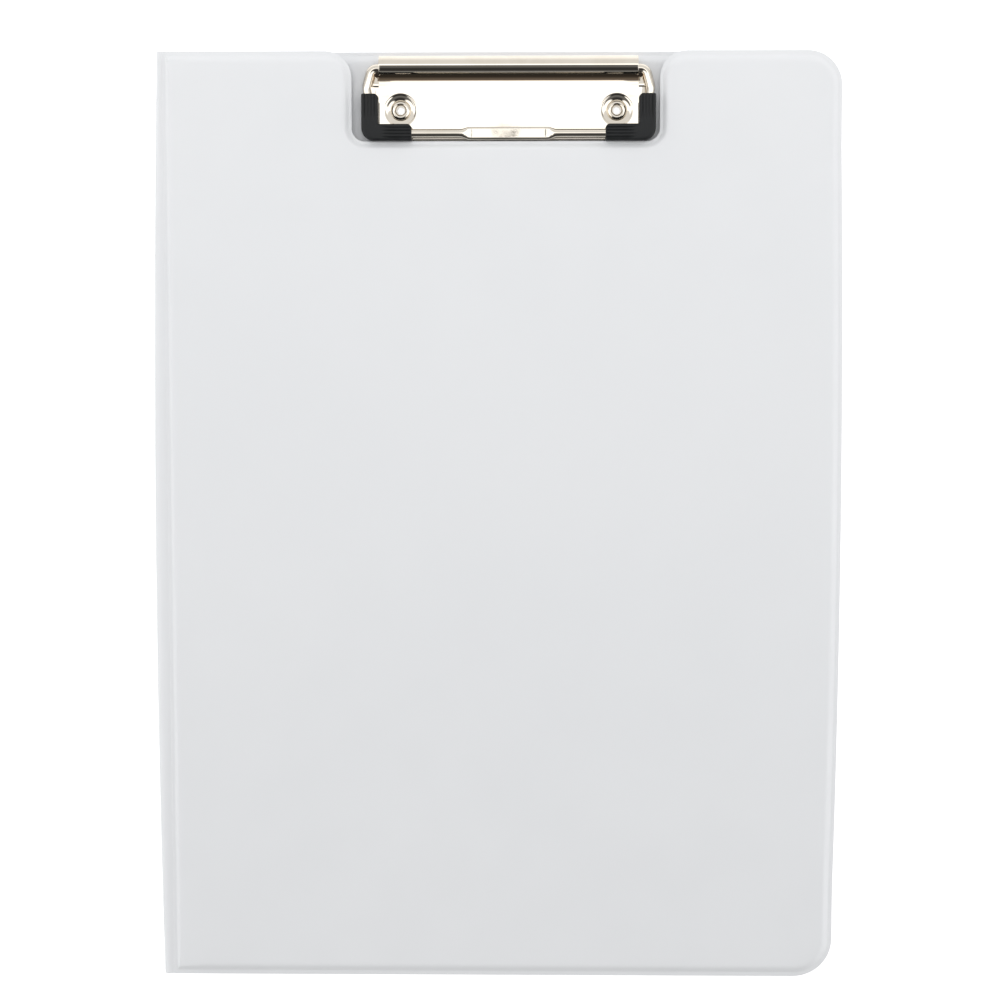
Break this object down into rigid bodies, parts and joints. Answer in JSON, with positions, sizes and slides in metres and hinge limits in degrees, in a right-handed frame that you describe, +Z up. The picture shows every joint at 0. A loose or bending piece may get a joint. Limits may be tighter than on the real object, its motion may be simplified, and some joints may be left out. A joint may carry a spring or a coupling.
{
  "type": "fold-over clipboard",
  "caption": "Closed fold-over clipboard with stiff vinyl-covered panels, a folding spine, a notched front cover and a sprung wire clip with corner sleeves.",
  "frame": {"origin": "centre of the back panel's resting outer face", "axes": "+X to the panels' free edge, away from the spine; +Y up the page to the clip; +Z up out of the page, through the front cover"},
  "size_m": [0.235, 0.324, 0.0099],
  "materials": {
    "white_vinyl": "satin",
    "white_liner": "satin",
    "pocket_vinyl": "satin",
    "greyboard": "matte",
    "nickel_plate": "polished",
    "black_rubber": "satin"
  },
  "bodies": {
    "back": {"back_skin": "white_vinyl", "back_board": "greyboard", "back_liner": "white_liner", "clip_plate": "nickel_plate", "rivet_left": "nickel_plate", "rivet_right": "nickel_plate"},
    "spine": {"spine_skin": "white_vinyl", "spine_liner": "white_liner"},
    "cover": {"cover_skin": "white_vinyl", "cover_board": "greyboard", "cover_liner": "white_liner", "cover_pocket": "pocket_vinyl"},
    "bail": {"wire_bail": "nickel_plate", "sleeve_left": "black_rubber", "sleeve_right": "black_rubber"}
  },
  "joints": [
    {"name": "spine_fold", "type": "hinge", "parent": "back", "child": "spine", "pos_m": [-0.117, 0, 0.0013], "axis": [0, -1, 0], "range_deg": [0, 179]},
    {"name": "cover_fold", "type": "hinge", "parent": "spine", "child": "cover", "pos_m": [-0.117, 0, 0.0053], "axis": [0, -1, 0], "range_deg": [0, 179]},
    {"name": "bail_lift", "type": "hinge", "parent": "back", "child": "bail", "pos_m": [0.0022, 0.157, 0.006], "axis": [-1, 0, 0], "range_deg": [0, 105], "stiffness_Nm_per_rad": 0.01, "springref_deg": -85.94}
  ]
}
